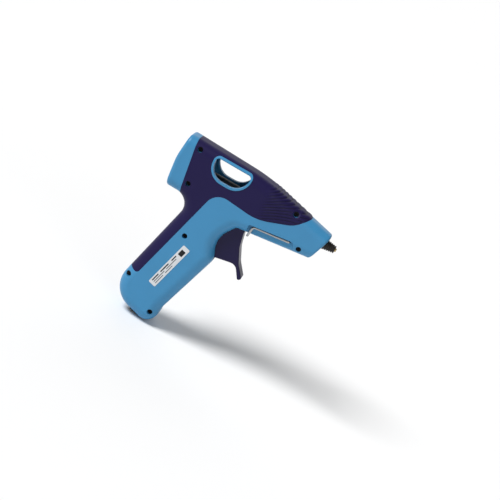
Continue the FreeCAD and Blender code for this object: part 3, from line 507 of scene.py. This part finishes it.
# %% [markdown]
# ## Window rims
# The D-shaped window has a rounded light rim that stands a little proud of the soft skin. It could
# be drawn again as an outline, but the rim's outer face is already on the frame's shell, so that
# face is found, copied, given a thickness, and its edges are bevelled. It fits the window exactly.

# %% Rims
RIM_PROUD = 0.35 * MM
RIM_SUNK = 0.6 * MM
RIM_ROUND = 0.32 * MM
RIM_SMOOTH = 20.0
RIM_CORNER = 50.0
RIM_FLAT = 1.0
BELOW_WINDOW = Vector((-95.0, 13.5, 3.3)) * MM


def rim_faces(bm, side):
    """Faces of the rim's outer face, found by spreading from one face over shallow edges."""
    below = Vector((BELOW_WINDOW.x, side * BELOW_WINDOW.y, BELOW_WINDOW.z))
    outer = [face for face in bm.faces if face.normal.y * side >= 0.9]
    seed = min(outer, key=lambda face: (face.calc_center_median() - below).length)
    found = {seed}
    front = [seed]
    while front:
        face = front.pop()
        for edge in face.edges:
            if edge.is_manifold and edge.calc_face_angle() < radians(RIM_SMOOTH):
                for other in edge.link_faces:
                    if other not in found:
                        found.add(other)
                        front.append(other)
    return found


def window_rim(name, node, side):
    bm = merged_copy(node)
    keep = rim_faces(bm, side)
    bmesh.ops.delete(bm, geom=[face for face in bm.faces if face not in keep], context="FACES")
    bm.normal_update()
    for vert in bm.verts:
        vert.co += vert.normal * RIM_PROUD
    bmesh.ops.dissolve_limit(bm, angle_limit=radians(RIM_FLAT), verts=bm.verts, edges=bm.edges)
    bmesh.ops.solidify(bm, geom=bm.faces[:], thickness=RIM_PROUD + RIM_SUNK)
    bmesh.ops.recalc_face_normals(bm, faces=bm.faces)
    sharp = [e for e in bm.edges if e.is_manifold and e.calc_face_angle() > radians(RIM_CORNER)]
    bmesh.ops.bevel(
        bm, geom=sharp, offset=RIM_ROUND, offset_type="OFFSET", segments=3,
        profile=0.5, affect="EDGES", material=-1, clamp_overlap=True,
    )
    settle(new_piece(name, bm), "casing", "shell_blue")


window_rim("right_window_rim", "right_shell", -1)
window_rim("left_window_rim", "left_shell", 1)

# %% [markdown]
# ## Rating label
# A thin foil with rounded corners, stuck along the handle. Its print is left as plain bars, because
# nothing on it should be readable. An image would need a file, so the bars are small flat faces.

# %% Label
low, high = (Vector(v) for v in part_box("rating_label"))
LABEL_RAKE = radians(14.8)
LABEL_LENGTH = 40.0 * MM
LABEL_WIDTH = 6.4 * MM
LABEL_CORNER = 0.9 * MM
FOIL_BACK = high.y
FOIL_FACE = low.y


def lay_on_handle(bm, y):
    """Turns a flat shape to face sideways, leans it with the handle and moves it into place."""
    middle = (low + high) / 2
    bmesh.ops.rotate(bm, verts=bm.verts, matrix=Matrix.Rotation(radians(90.0), 3, "X"))
    bmesh.ops.rotate(bm, verts=bm.verts, matrix=Matrix.Rotation(LABEL_RAKE, 3, "Y"))
    bmesh.ops.translate(bm, verts=bm.verts, vec=(middle.x, y, middle.z))


bm = bmesh.new()
bmesh.ops.create_grid(bm, x_segments=1, y_segments=1, size=0.5)
bmesh.ops.scale(bm, verts=bm.verts, vec=(LABEL_WIDTH, LABEL_LENGTH, 1.0))
bmesh.ops.bevel(
    bm, geom=bm.verts[:], offset=LABEL_CORNER, offset_type="OFFSET", segments=5,
    profile=0.5, affect="VERTICES", material=-1,
)
lay_on_handle(bm, FOIL_BACK)
grown = bmesh.ops.extrude_face_region(bm, geom=bm.faces[:], use_keep_orig=True)
front = [made for made in grown["geom"] if isinstance(made, bmesh.types.BMVert)]
bmesh.ops.translate(bm, verts=front, vec=(0.0, FOIL_FACE - FOIL_BACK, 0.0))
bmesh.ops.recalc_face_normals(bm, faces=bm.faces)
settle(new_piece("label_foil", bm), "casing", "label_silver", "rating_label")

# %% Bars in place of the print
# Each bar is its place across and along the foil, its width and its length, in millimetres.
BARS = [
    (-1.6, -14.0, 0.9, 7.0), (-1.6, -3.5, 0.9, 9.0), (-1.6, 7.0, 0.9, 5.0), (0.0, -11.5, 0.5, 12.0),
    (0.0, 2.5, 0.5, 11.0), (1.5, -13.0, 0.5, 9.0), (1.5, -2.0, 0.5, 8.0), (0.0, 14.2, 3.6, 5.0),
]
BAR_LIFT = 0.02 * MM

bm = bmesh.new()
for across, along, width, length in BARS:
    bar = bmesh.ops.create_grid(bm, x_segments=1, y_segments=1, size=0.5)["verts"]
    bmesh.ops.scale(bm, verts=bar, vec=(width * MM, length * MM, 1.0))
    bmesh.ops.translate(bm, verts=bar, vec=(across * MM, along * MM, 0.0))
lay_on_handle(bm, FOIL_FACE - BAR_LIFT)
settle(new_piece("label_bars", bm), "casing", "bush_black")
